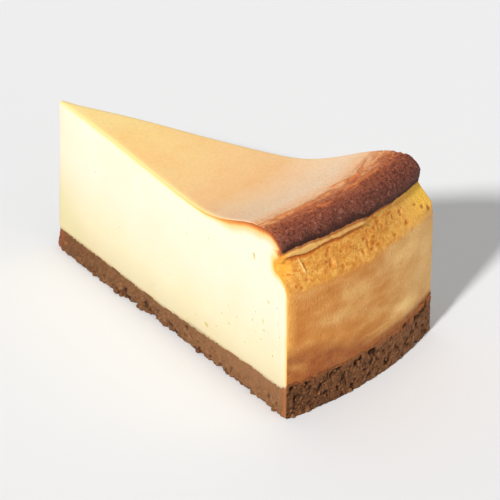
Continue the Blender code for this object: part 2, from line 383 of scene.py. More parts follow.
def bubbles(side):
    """Air bubbles cut through by the knife, as (r, z, half width, half height, depth)."""
    found = []
    if side < 0:
        found += [(85.7, 37.5, 0.60, 1.0, 0.8), (66.0, 9.2, 0.85, 0.60, 0.45), (92.0, 28.2, 0.55, 0.30, 0.4),
                  (89.8, 21.8, 0.30, 0.60, 0.45), (90.3, 19.6, 0.35, 0.30, 0.3), (85.5, 20.2, 0.30, 0.45, 0.35),
                  (79.0, 17.8, 0.28, 0.28, 0.3), (75.7, 14.3, 0.32, 0.32, 0.3), (75.3, 19.0, 0.26, 0.30, 0.3),
                  (70.3, 11.0, 0.26, 0.26, 0.3), (96.7, 20.8, 0.26, 0.30, 0.3), (57.7, 6.9, 0.22, 0.22, 0.3),
                  (17.0, 28.5, 0.24, 0.24, 0.25), (27.8, 18.0, 0.24, 0.24, 0.25), (82.5, 12.6, 0.24, 0.24, 0.3),
                  (94.0, 14.4, 0.26, 0.34, 0.3)]
    rng = np.random.default_rng(41 if side < 0 else 42)
    for _ in range(26 if side < 0 else 40):
        r = 99 - 62 * rng.random() ** (1.5 if side < 0 else 1.1)
        z = 9 + 26 * rng.random() ** 1.3
        s = 0.15 + 0.13 * rng.random() ** 2 + (0.25 * (rng.random() > 0.9) if side > 0 else 0)
        if all(math.hypot(r - b[0], z - b[1]) > 1.6 for b in found) and r < 98:
            found.append((r, z, s, s * (0.8 + 0.5 * rng.random()), 0.8 * s))
    return found


def filling():
    shape = Shape()
    arcs = graded(186)
    rim = rim_profile()
    rows = along(rim, 0.27)
    foot = int(np.argmax(rows[:, 1] > 8.5))       # below this the rows squeeze on to the base
    normal = line_normals(rows)
    nr, nc = len(rows), len(arcs)

    # the wall, the lip and the crest
    A = np.broadcast_to(arcs, (nr, nc)).copy()
    R = np.broadcast_to(rows[:, :1], (nr, nc)).copy()
    Z = np.broadcast_to(rows[:, 1:], (nr, nc)).copy()
    low = join_height(np.full(nc, R_CAKE), arcs) - SINK
    squeeze = np.clip(Z / 14.0, 0, 1)
    Z = np.where(Z < 14.0, low + (14.0 - low) * squeeze, Z)
    h, masks = rim_relief(R.ravel(), A.ravel(), Z.ravel())
    h = h.reshape(nr, nc) * smooth(Z, low + 0.1, low + 1.4)
    base_top = top_relief(R.ravel(), A.ravel()).reshape(nr, nc) * (1 - smooth(R, 84, 90)) * (Z > 43)
    h = h + base_top
    wander = 0.45 * noise(np.stack([A.ravel(), R.ravel() * 0, Z.ravel() * 0], -1), 11, 51).reshape(nr, nc) * smooth(Z, 33, 41) * smooth(R, 84, 92)
    full = smooth(A, -27.9, -25.0)                # the notch under the lip is open at the near cut only
    Rw = R + normal[:, :1] * h + rim_shift(R, A, Z, full)
    Zw = Z + normal[:, 1:] * h + wander * 0.8
    W = shape.add(place(Rw, A, Zw), foot=Z - low, cut=0, rad=(R / 100), arc=A, hgt=Z, skin=0, edge_r=R / 100, edge_z=Z, **masks).reshape(nr, nc)
    shape.grid(W)

    # the straight edges of the top, the tip and the edges along the base
    r_edge = np.concatenate([np.arange(84 - 0.33, 60, -0.4), np.arange(60, TANGENT + 0.5, -0.7)])
    r_low = np.concatenate([np.arange(TANGENT + 0.5, 97, 0.8), [98, 99]])

    def top_z(r, a):
        r, a = np.asarray(r, float), np.asarray(a, float)
        join = 0.45 * 0.8 * noise(np.stack([a, a * 0, a * 0], -1), 11, 51) * smooth(r, 84, 92)
        return top_height(r) + top_relief(r, a) + join

    E, G = {}, {}
    for side in (-1, 1):
        a = np.full(len(r_edge), side * A_EDGE)
        E[side] = shape.add(place(r_edge, a, top_z(r_edge, a)), rad=r_edge / 100, arc=a, hgt=top_z(r_edge, a), cut=0, skin=0, dark=1,
                            edge_r=r_edge / 100, edge_z=top_z(r_edge, a), foot=9)
        a = np.full(len(r_low), side * A_EDGE)
        G[side] = shape.add(place(r_low, a, join_height(r_low, a) - SINK), rad=r_low / 100, arc=a, hgt=join_height(r_low, a), cut=1, skin=9)
    z0, z1 = float(join_height(np.array([TANGENT]), np.array([0.0]))[0]) - SINK, float(top_z([TANGENT], [0.0])[0])
    zs = np.linspace(z0, z1, 50)
    turns = np.array([-1, -0.5, 0, 0.5, 1]) * (math.pi / 2 - HALF)
    c = TIP_R / math.sin(HALF)
    tip = np.stack([np.broadcast_to(c - TIP_R * np.cos(turns), (50, 5)), np.broadcast_to(TIP_R * np.sin(turns), (50, 5)),
                    np.broadcast_to(zs[:, None], (50, 5))], -1)
    S = shape.add(tip, foot=tip[..., 2] - z0, rad=TANGENT / 100, arc=0, hgt=tip[..., 2], cut=(z1 - tip[..., 2] > 0.3) * 1.0, skin=(z1 - tip[..., 2]),
                  dark=1, edge_r=0.02, edge_z=z1).reshape(50, 5)
    shape.grid(S, flip=True)

    def now():
        return np.concatenate(shape.points)

    # the two cut faces
    for side in (-1, 1):
        col = 0 if side < 0 else -1
        ring = np.concatenate([S[:1, col], G[side], W[:, col], E[side], S[::-1, col][:-1]])
        q = now()[ring]
        poly = np.stack([np.hypot(q[:, 0], q[:, 1]), q[:, 2]], -1)
        first, last = 1 + len(G[side]), 1 + len(G[side]) + nr + len(E[side])
        outer = poly[first:last]
        n = -line_normals(outer)
        extra = []
        for off, skip in ((0.15, 1), (0.35, 1), (0.6, 1), (0.9, 2), (1.3, 2)):
            extra.append((outer + n * off)[::skip])
        holes = bubbles(side)
        for (r, z, wr, wz, d) in holes:
            for k, m in ((0.0, 1), (0.35, 6), (0.65, 9), (0.88, 12), (1.08, 12), (1.35, 12)):
                t = np.linspace(0, 2 * math.pi, m, endpoint=False) + k
                extra.append(np.stack([r + k * wr * np.cos(t), z + k * wz * np.sin(t)], -1))
        fine, coarse = (0.46, 0.8) if side < 0 else (0.62, 1.0)
        loose = np.concatenate([hexes(58, 100, 7, 48, fine), hexes(1, 58, 5, 42, coarse)])
        strips = np.concatenate(extra[:5])
        rings = np.concatenate(extra[5:])
        dist, _ = nearest(poly, strips)
        strips = strips[inside(poly, strips) & (dist > 0.10)]
        keep = np.ones(len(strips), bool)             # strips fold over each other in the recess
        cell = {}
        for i, key in enumerate(map(tuple, np.round(strips / 0.16).astype(int))):
            if key in cell:
                keep[i] = False
            cell[key] = i
        strips = strips[keep]
        loose = loose[inside(poly, loose)]
        dist, _ = nearest(poly, loose)
        loose = loose[dist > np.where(loose[:, 1] < 12, 0.5, 1.45)]
        for (r, z, wr, wz, d) in holes:
            loose = loose[np.hypot((loose[:, 0] - r) / wr, (loose[:, 1] - z) / wz) > 1.5]
        inner = np.concatenate([strips, loose, rings])
        inner = inner[inside(poly, inner)]
        tris = fill(poly, inner)
        depth, at = nearest(outer, inner, False)
        h = np.zeros(len(inner))
        pit = np.zeros(len(inner))
        for (r, z, wr, wz, d) in holes:
            t = np.hypot((inner[:, 0] - r) / wr, (inner[:, 1] - z) / wz)
            h -= d * (1 - smooth(t, 0.25, 1.08))
            pit = np.maximum(pit, 1 - smooth(t, 0.5, 1.25))
        q3 = np.stack([inner[:, 0], inner[:, 0] * 0 + side * 40, inner[:, 1]], -1)
        calm = smooth(nearest(poly, inner)[0], 0.3, 3)
        h += calm * (0.10 * noise(q3, 24, 101) + 0.035 * noise(q3 * np.array([1, 1, 0.35]), 5, 102) + 0.012 * fbm(q3, 1.6, 2, 103))
        a = np.full(len(inner), side * A_EDGE)
        out = np.array([-math.sin(HALF), side * math.cos(HALF), 0.0])
        index = shape.add(place(inner[:, 0], a, inner[:, 1]) + out * h[:, None], cut=1, rad=inner[:, 0] / 100, arc=a,
                          foot=inner[:, 1] - join_height(inner[:, 0], a) + SINK, hgt=inner[:, 1], skin=depth, edge_r=at[:, 0] / 100, edge_z=at[:, 1], pit=pit)
        ids = np.concatenate([ring, index])
        for t in tris:
            f = [int(ids[i]) for i in t]
            shape.faces.append(f if side < 0 else f[::-1])

    # the top
    ring = np.concatenate([W[-1], E[1], S[-1, ::-1], E[-1][::-1]])
    poly = now()[ring][:, :2]
    loose = np.concatenate([hexes(58, 84, -26, 26, 0.5), hexes(2, 58, -18, 18, 0.8)])
    rr, aa = np.hypot(*loose.T), np.arctan2(loose[:, 1], loose[:, 0]) * R_CAKE
    loose = loose[(rr < 83.7) & (rr * np.sin(np.clip(HALF - np.abs(aa) / R_CAKE, 0, 1)) > 1.25)]
    extra = []
    for off in (0.15, 0.35, 0.6, 0.9):
        for side in (-1, 1):
            r = r_edge[r_edge > off * 6]
            t = side * (HALF - np.arcsin(off / r))
            extra.append(np.stack([r * np.cos(t), r * np.sin(t)], -1))
    inner = np.concatenate(extra + [loose])
    inner = inner[inside(poly, inner)]
    tris = fill(poly, inner)
    r, a = np.hypot(*inner.T), np.arctan2(inner[:, 1], inner[:, 0]) * R_CAKE
    z = top_z(r, a)
    index = shape.add(place(r, a, z), foot=9, rad=r / 100, arc=a, hgt=z, cut=0, skin=0, dark=1)
    ids = np.concatenate([ring, index])
    shape.faces += [[int(ids[i]) for i in t] for t in tris]

    # the underside, on the base
    ring = np.concatenate([S[0], G[1], W[0, ::-1], G[-1][::-1]])
    poly = now()[ring][:, :2]
    loose = hexes(3, 99, -27, 27, 1.6)
    rr = np.hypot(*loose.T)
    aa = np.arctan2(loose[:, 1], loose[:, 0])
    loose = loose[(rr < 99) & (rr * np.sin(np.clip(HALF - np.abs(aa), 0, 1)) > 0.8)]
    loose = loose[inside(poly, loose)]
    tris = fill(poly, loose)
    r, a = np.hypot(*loose.T), np.arctan2(loose[:, 1], loose[:, 0]) * R_CAKE
    index = shape.add(place(r, a, join_height(r, a) - SINK), cut=1, rad=r / 100, arc=a, hgt=join_height(r, a), skin=9)
    ids = np.concatenate([ring, index])
    for t in tris:
        f = [int(ids[i]) for i in t]
        x = now_area(poly, loose, t)
        shape.faces.append(f[::-1] if x > 0 else f)

    # round the cut edges: near each, the surface turns through 45 degrees to meet the other face
    P = now()
    cut, r = shape.value("cut"), np.hypot(P[:, 0], P[:, 1])
    theta = np.arctan2(P[:, 1], P[:, 0])
    up = np.zeros_like(P)
    up[:, 2] = 1.0
    wn = np.zeros((nr, nc, 3))
    t = A / R_CAKE
    wn[..., 0], wn[..., 1], wn[..., 2] = normal[:, :1] * np.cos(t), normal[:, :1] * np.sin(t), normal[:, 1:]
    up[W.ravel()] = wn.reshape(-1, 3)
    skin, edge_r, edge_z = shape.value("skin"), shape.value("edge_r") * 100, shape.value("edge_z")
    size = EDGE * (0.6 + 0.4 * smooth(P[:, 2], 30, 40)) * np.clip(r / 6, 0.0, 1) * smooth(P[:, 2], 9.5, 12)
    size = size * (1 + 0.9 * (1 - smooth(r, 62, 88)) * smooth(P[:, 2], 34, 37))
    # a pale band on the top along each cut edge, for the colour: partly pale skin over the rounding, partly a painted
    # highlight
    rim_pale_and_highlight = np.zeros(len(P))
    moved = P.copy()
    for side in (-1, 1):
        out = np.array([-math.sin(HALF), side * math.cos(HALF), 0.0])
        d = r * np.sin(np.clip(HALF - side * theta, 0, 1))
        rim_pale_and_highlight = np.maximum(rim_pale_and_highlight, (1 - smooth(d, 0.5, 1.5)) * (cut == 0) * (P[:, 2] > 36) * (1 - smooth(r, 60, 90)))
        m = (cut == 0) & (d < size) & (size > 0.02)
        phi = math.pi / 4 * (1 - d[m] / size[m])
        moved[m] -= up[m] * (size[m] * (1 - np.cos(phi)))[:, None]
        moved[m] -= out * ((size[m] - d[m]) - size[m] * np.sin(phi))[:, None]
        m = (cut == 1) & (skin < size) & (side * theta > HALF - 0.01) & (edge_r > 2.5) & (size > 0.02)
        phi = math.pi / 4 * (1 - skin[m] / size[m])
        flat = np.stack([r[m] - edge_r[m], P[m, 2] - edge_z[m]], -1)
        flat /= np.maximum(np.hypot(*flat.T), 1e-6)[:, None]
        turn = side * HALF
        inward = np.stack([flat[:, 0] * math.cos(turn), flat[:, 0] * math.sin(turn), flat[:, 1]], -1)
        moved[m] -= out * (size[m] * (1 - np.cos(phi)))[:, None]
        moved[m] += inward * ((size[m] - skin[m]) - size[m] * np.sin(phi))[:, None]
    # the point stands out a little at its foot, and its top corner is rounded off
    point = 1 - smooth(moved[:, 0], 0.0, 7.0)
    moved[:, 0] -= 0.40 * point * (1 - smooth(moved[:, 2], 10, 34)) * smooth(moved[:, 2], 4.6, 6.0)
    moved[:, 0] += 0.9 * (1 - smooth(moved[:, 0], 0.0, 2.4)) * np.clip((moved[:, 2] - 39.9) / 1.4, 0, 1) ** 2
    return shape, moved, rim_pale_and_highlight


def now_area(poly, inner, t):
    pts = [poly[i] if i < len(poly) else inner[i - len(poly)] for i in t]
    (x0, y0), (x1, y1), (x2, y2) = pts[:3]
    return (x1 - x0) * (y2 - y0) - (x2 - x0) * (y1 - y0)


def piece(name, points, faces, values, material, node, body="root"):
    """A mesh in the row frame that replaces a CAD node."""
    mesh = bpy.data.meshes.new(name)
    mesh.from_pydata((np.asarray(points) / 1000 + CENTRE).tolist(), [], faces)
    for key, v in values.items():
        mesh.attributes.new(key, "FLOAT", "POINT").data.foreach_set("value", np.asarray(v, np.float32))
    mesh.materials.append(material)
    mesh.shade_smooth()
    mesh.update()
    made = bpy.data.objects.new(name, mesh)
    bpy.context.scene.collection.objects.link(made)
    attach(made, body)
    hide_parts(node)
    return made


# ---- the biscuit base ---------------------------------------------------------------
def base():
    """A flat cake of pressed crumb: its sides are rough, and its lower edge is broken."""
    shape = Shape()
    step = 0.25
    r = np.arange(0.6, 99.7, step)
    near = np.stack([r, np.full(len(r), -A_EDGE)], -1)
    a = np.arange(-A_EDGE, A_EDGE, step)
    wall = np.stack([np.full(len(a), R_CAKE), a], -1)
    far = np.stack([r[::-1], np.full(len(r), A_EDGE)], -1)
    ring = np.concatenate([near, wall, far])
    n_side = np.array([-math.sin(HALF), -math.cos(HALF)])
    f_side = np.array([-math.sin(HALF), math.cos(HALF)])
    out = np.concatenate([np.broadcast_to(n_side, (len(near), 2)),
                          np.stack([np.cos(a / R_CAKE), np.sin(a / R_CAKE)], -1), np.broadcast_to(f_side, (len(far), 2))])
    # the directions turn smoothly round the corners
    for _ in range(5):
        out = (np.roll(out, 1, 0) + 2 * out + np.roll(out, -1, 0)) / 4
    out /= np.hypot(*out.T)[:, None]
    n, levels = len(ring), 32
    where = np.concatenate([np.zeros(len(near)), np.ones(len(wall)), np.full(len(far), 2.0)])
    top = join_height(ring[:, 0], ring[:, 1])
    lv = np.linspace(0, 1, levels)[:, None]
    xy = place(ring[:, 0], ring[:, 1], 0 * ring[:, 0])[:, :2]
    X, Y = np.broadcast_to(xy[:, 0], (levels, n)), np.broadcast_to(xy[:, 1], (levels, n))
    Z = lv * top
    p = np.stack([X.ravel(), Y.ravel(), Z.ravel()], -1)
    back = np.broadcast_to(where == 1, (levels, n)).ravel()
    where_all = np.broadcast_to(where, (levels, n)).ravel()
    run = np.broadcast_to(np.where(where == 1, ring[:, 1] + 200, ring[:, 0] + 400 * (where == 2)), (levels, n)).ravel()
    line = np.stack([run, run * 0, run * 0], -1)
    rough = np.where(back, 1.0, 0.25 + 0.75 * smooth(4.4 + 0.9 * noise(line, 6, 22) - p[:, 2], 0, 2.4))
    f1, f2, own = cells(p, 1.35, 23)
    g1, g2, gown = cells(p, 0.72, 24)
    h = rough * np.where(back, 0.75, 1.0) * (0.26 * (0.62 - f1) * (0.4 + own) + 0.30 * (0.6 - g1) + 0.26 * fbm(p, 2.4, 3, 25))
    hole = smooth(own, 0.80, 0.88) * smooth(f2 - f1, 0.02, 0.25) * np.where(back, 1.0, 0.35 * rough)
    hole = np.maximum(hole, smooth(gown, 0.86, 0.92) * smooth(g2 - g1, 0.02, 0.2) * 0.6 * rough)
    h -= 0.75 * hole
    # pits along the line where the wall meets the crumb; the colour darkens them as painted shade
    pits = np.zeros(len(p))
    for a0, z0, wa, wz in ((-26.2, 7.7, 0.8, 0.40), (-25.2, 4.4, 0.5, 0.8), (-22.0, 7.6, 1.1, 0.35), (-12.2, 7.9, 1.1, 0.45), (-6.0, 7.1, 0.6, 0.6),
                           (-0.4, 7.9, 1.1, 0.5), (1.2, 6.9, 0.6, 0.7), (6.1, 2.2, 1.0, 0.8), (14.4, 2.8, 0.7, 0.6), (13.6, 8.4, 0.9, 0.35),
                           (19.6, 7.5, 0.9, 0.45), (23.0, 7.8, 1.1, 0.35), (-16, 3.0, 0.6, 0.6)):
        pits = np.maximum(pits, np.exp(-(((run - 200 - a0) / wa) ** 2 + ((p[:, 2] - z0) / wz) ** 2)) * back)
    for r0, z0, wr, wz in ((31.0, 1.6, 1.0, 1.1), (32.4, 0.6, 0.9, 0.7), (39.8, 1.9, 0.9, 1.0), (41.6, 0.9, 1.2, 0.8), (43.4, 0.3, 0.8, 0.5), (50.0, 1.6, 0.8, 0.5),
                           (52.4, 0.6, 0.9, 0.55), (57.5, 4.2, 0.45, 0.35), (35.5, 0.2, 0.9, 0.6), (64.0, 0.4, 0.9, 0.5), (72.0, 0.5, 0.7, 0.6), (84.0, 0.3, 1.0, 0.5)):
        bite = np.exp(-(((run - r0) / wr) ** 2 + ((p[:, 2] - z0) / wz) ** 2) * (1 + 0.8 * noise(p, 0.9, 66))) * (where_all == 0)
        pits = np.maximum(pits, np.clip(bite, 0, 1))
    h -= 1.25 * pits
    # the broken lower edge
    chip = smooth(fbm(line, 5.0, 3, 26) + 0.10, 0.0, 0.55) + 0.25 * smooth(noise(line, 1.6, 27), 0.0, 0.5)
    reach = np.where(back, 0.4, 1.15) * chip
    tipward = (where_all == 0) * (1 - smooth(run, 22, 50))
    h -= reach * (1 - 0.6 * tipward) * (1 - smooth(p[:, 2], 0.0, 0.5 + 1.2 * chip))
    h += 1.05 * tipward * (1 - smooth(p[:, 2], 2.0, 5.0))    # pushed out by the knife towards the tip
    h = h * np.clip(np.hypot(p[:, 0], p[:, 1]) / 3, 0.45, 1)
    h *= 1 - 0.7 * smooth(np.broadcast_to(lv, (levels, n)).ravel(), 0.93, 1.0) * np.where(back, 0.6, 1.0)
    h += 0.12 * back * smooth(np.broadcast_to(lv, (levels, n)).ravel(), 0.8, 1.0)
    P = p.copy()
    P[:, :2] += np.tile(out, (levels, 1)) * h[:, None]
    P[:, 2] += 0.22 * noise(p, 1.4, 28) * smooth(Z.ravel(), 0.1, 0.8) * (1 - smooth(np.broadcast_to(lv, (levels, n)).ravel(), 0.85, 1.0))
    level = np.broadcast_to(lv, (levels, n)).ravel()
    P[:, 2] += np.where(back, 0.55 * fbm(line, 1.7, 2, 29) + 0.85 * fbm(line, 4.6, 2, 30) + 0.35, 0.14 * fbm(line, 1.7, 2, 29) + 0.30 * fbm(line, 6.0, 2, 30) + 0.05) * smooth(level, 0.75, 1.0)
    P[:n, 2] = 0.0
    ids = shape.add(P, back=back * 1.0, hole=np.clip(hole * 0.8 + pits, 0, 1), rad=np.hypot(p[:, 0], p[:, 1]) / 100,
                    hgt=p[:, 2], arc=np.tile(ring[:, 1], levels), high=np.broadcast_to(lv, (levels, n)),
                    height=h, grain=own).reshape(levels, n)
    shape.grid(np.concatenate([ids, ids[:, :1]], 1))
    for row, up in ((0, False), (levels - 1, True)):
        poly = P.reshape(levels, n, 3)[row, :, :2]
        loose = hexes(4, 97, -26, 26, 1.6)
        keep = inside(poly, loose)
        keep[keep] = nearest(poly, loose[keep])[0] > 0.9
        loose = loose[keep]
        tris = fill(poly, loose)
        rr, aa = np.hypot(*loose.T), np.arctan2(loose[:, 1], loose[:, 0]) * R_CAKE
        z = join_height(rr, aa) if up else 0 * rr
        index = shape.add(np.concatenate([loose, z[:, None]], 1), rad=rr / 100, hgt=z, arc=aa, high=float(up), back=0)
        both = np.concatenate([ids[row], index])
        for t in tris:
            f = [int(both[i]) for i in t]
            shape.faces.append(f if (now_area(poly, loose, t) > 0) == up else f[::-1])
    return shape, np.concatenate(shape.points)


def crumbs():
    """Loose crumbs that cling to the base and lie against its foot."""
    import bmesh
    rng = np.random.default_rng(7)
    shape = Shape()
    spots = []
    for _ in range(120):                              # in the broken edge of the near and far sides
        r, side = 100 * math.sqrt(rng.uniform(0.01, 0.98)), rng.choice([-1, -1, 1])
        s = rng.uniform(0.18, 0.55)
        spots.append((r, side * A_EDGE, s * 0.55 + rng.uniform(0, 1.6) ** 1.5, s, rng.uniform(-0.7, 0.1) * s - 0.3, side))
    for _ in range(150):                              # all over the back
        s = rng.uniform(0.16, 0.5)
        spots.append((R_CAKE, rng.uniform(-27, 27), rng.uniform(0.2, 8.0), s, rng.uniform(-0.9, -0.2) * s, 0))
    for r, z, s, d in ((28.2, 0.7, 1.05, 1.05), (30.0, 0.5, 0.75, 0.9), (26.6, 1.5, 0.5, 0.9), (12.5, 1.0, 0.7, 0.8), (18.0, 0.5, 0.8, 0.7), (38.6, 0.7, 0.8, 0.4), (37.2, 0.4, 0.6, 0.5), (48.0, 0.6, 0.7, -0.1), (63.0, 0.55, 0.6, 0.1),
                       (75.0, 0.6, 0.75, -0.2), (86.0, 0.5, 0.6, 0.1), (95.0, 0.5, 0.7, 0.1), (10.0, 0.8, 0.6, -0.2)):
        spots.append((r, -A_EDGE, z, s, d, -1))
    for r, a, z, s, d in ((R_CAKE, -21.5, 0.5, 0.8, -0.3), (R_CAKE, -26.0, 0.45, 0.6, -0.1), (R_CAKE, -8.0, 0.45, 0.6, -0.2), (R_CAKE, 12.0, 0.4, 0.55, -0.2)):
        spots.append((r, a, z, s, d, 0))
    for k, (r, a, z, s, d, side) in enumerate(spots):
        bm = bmesh.new()
        bmesh.ops.create_icosphere(bm, subdivisions=3 if s > 0.4 else 2, radius=1.0)
        v = np.array([x.co for x in bm.verts])
        f = [[x.index for x in y.verts] for y in bm.faces]
        bm.free()
        v = v * (1 + 0.30 * noise(v + k * 7.7, 0.9, 31) + 0.14 * noise(v + k * 3.3, 0.4, 32))[:, None]
        v = v * rng.uniform(0.7, 1.2, 3)
        q = Matrix.Rotation(rng.uniform(0, 6.28), 3, Vector(rng.normal(size=3)).normalized())
        v = v @ np.array(q).T * s
        at = place(np.array([r * 1.0]), np.array([a * 1.0]), z)[0]
        out = (np.array([math.cos(a / R_CAKE), math.sin(a / R_CAKE), 0]) if side == 0
               else np.array([-math.sin(HALF), side * math.cos(HALF), 0]))
        v = v + at + out * d
        v[:, 2] = np.maximum(v[:, 2], 0.0)
        ids = shape.add(v, tone=rng.random(), back=float(side == 0))
        shape.faces += [[int(ids[i]) for i in t] for t in f]
    return shape, np.concatenate(shape.points)


# ---- materials ------------------------------------------------------------------------
def srgb(r, g, b):
    return tuple(c / 255 / 12.92 if c <= 10 else ((c / 255 + 0.055) / 1.055) ** 2.4 for c in (r, g, b)) + (1.0,)


class Nodes:
    """Short calls that add shader nodes and return their outputs."""

    def __init__(self, name):
        self.material = bpy.data.materials.new(name)
        self.material.use_nodes = True
        self.tree = self.material.node_tree
        self.shader = self.tree.nodes["Principled BSDF"]

    def node(self, kind, **sockets):
        n = self.tree.nodes.new(kind)
        for k, v in sockets.items():
            self.put(n.inputs[k], v)
        return n

    def put(self, socket, v):
        if isinstance(v, bpy.types.NodeSocket):
            self.tree.links.new(v, socket)
        else:
            socket.default_value = v

    def value(self, name):
        n = self.tree.nodes.new("ShaderNodeAttribute")
        n.attribute_name = name
        return n.outputs["Fac"]

    def math(self, op, a, b=0.0, clamp=False):
        n = self.tree.nodes.new("ShaderNodeMath")
        n.operation, n.use_clamp = op, clamp
        self.put(n.inputs[0], a)
        self.put(n.inputs[1], b)
        return n.outputs[0]

    def ease(self, x, lo, hi, to=(0.0, 1.0), kind="SMOOTHSTEP"):
        n = self.tree.nodes.new("ShaderNodeMapRange")
        n.interpolation_type = kind
        self.put(n.inputs["Value"], x)
        for k, v in (("From Min", lo), ("From Max", hi), ("To Min", to[0]), ("To Max", to[1])):
            n.inputs[k].default_value = v
        return n.outputs[0]

    def ramp(self, x, stops, kind="EASE"):
        n = self.tree.nodes.new("ShaderNodeValToRGB")
        n.color_ramp.interpolation = kind
        e = n.color_ramp.elements
        while len(e) < len(stops):
            e.new(0.5)
        for k, (at, colour) in enumerate(stops):
            e[k].position, e[k].color = at, colour
        self.put(n.inputs[0], x)
        return n.outputs["Color"]

    def mix(self, f, a, b, mode="MIX"):
        n = self.tree.nodes.new("ShaderNodeMix")
        n.data_type, n.blend_type = "RGBA", mode
        self.put(n.inputs[0], f)
        self.put(n.inputs[6], a)
        self.put(n.inputs[7], b)
        return n.outputs[2]

    def at(self, scale=(1, 1, 1)):
        """Object position in millimetres, stretched."""
        c = self.tree.nodes.new("ShaderNodeTexCoord")
        m = self.tree.nodes.new("ShaderNodeMapping")
        m.inputs["Scale"].default_value = tuple(1000 * s for s in scale)
        self.tree.links.new(c.outputs["Object"], m.inputs["Vector"])
        return m.outputs[0]

    def round_at(self, scale=(1, 1, 1)):
        """(arc, r, z) position in millimetres, stretched."""
        c = self.tree.nodes.new("ShaderNodeCombineXYZ")
        for k, (name, unit) in enumerate((("arc", 1), ("rad", 100), ("hgt", 1))):
            self.tree.links.new(self.math("MULTIPLY", self.value(name), unit * scale[k]), c.inputs[k])
        return c.outputs[0]

    def noise(self, where, size, detail=2.0, rough=0.5):
        n = self.tree.nodes.new("ShaderNodeTexNoise")
        self.put(n.inputs["Vector"], where)
        n.inputs["Scale"].default_value = 1 / size
        n.inputs["Detail"].default_value = detail
        n.inputs["Roughness"].default_value = rough
        return n.outputs["Fac"]

    def cells(self, where, size, out="Distance", feature="F1", random=1.0):
        n = self.tree.nodes.new("ShaderNodeTexVoronoi")
        n.feature = feature
        self.put(n.inputs["Vector"], where)
        n.inputs["Scale"].default_value = 1 / size
        n.inputs["Randomness"].default_value = random
        return n.outputs[out]

    def bump(self, height, distance, strength=1.0, normal=None):
        n = self.tree.nodes.new("ShaderNodeBump")
        n.inputs["Strength"].default_value = strength
        n.inputs["Distance"].default_value = distance
        self.put(n.inputs["Height"], height)
        if normal is not None:
            self.tree.links.new(normal, n.inputs["Normal"])
        return n.outputs[0]


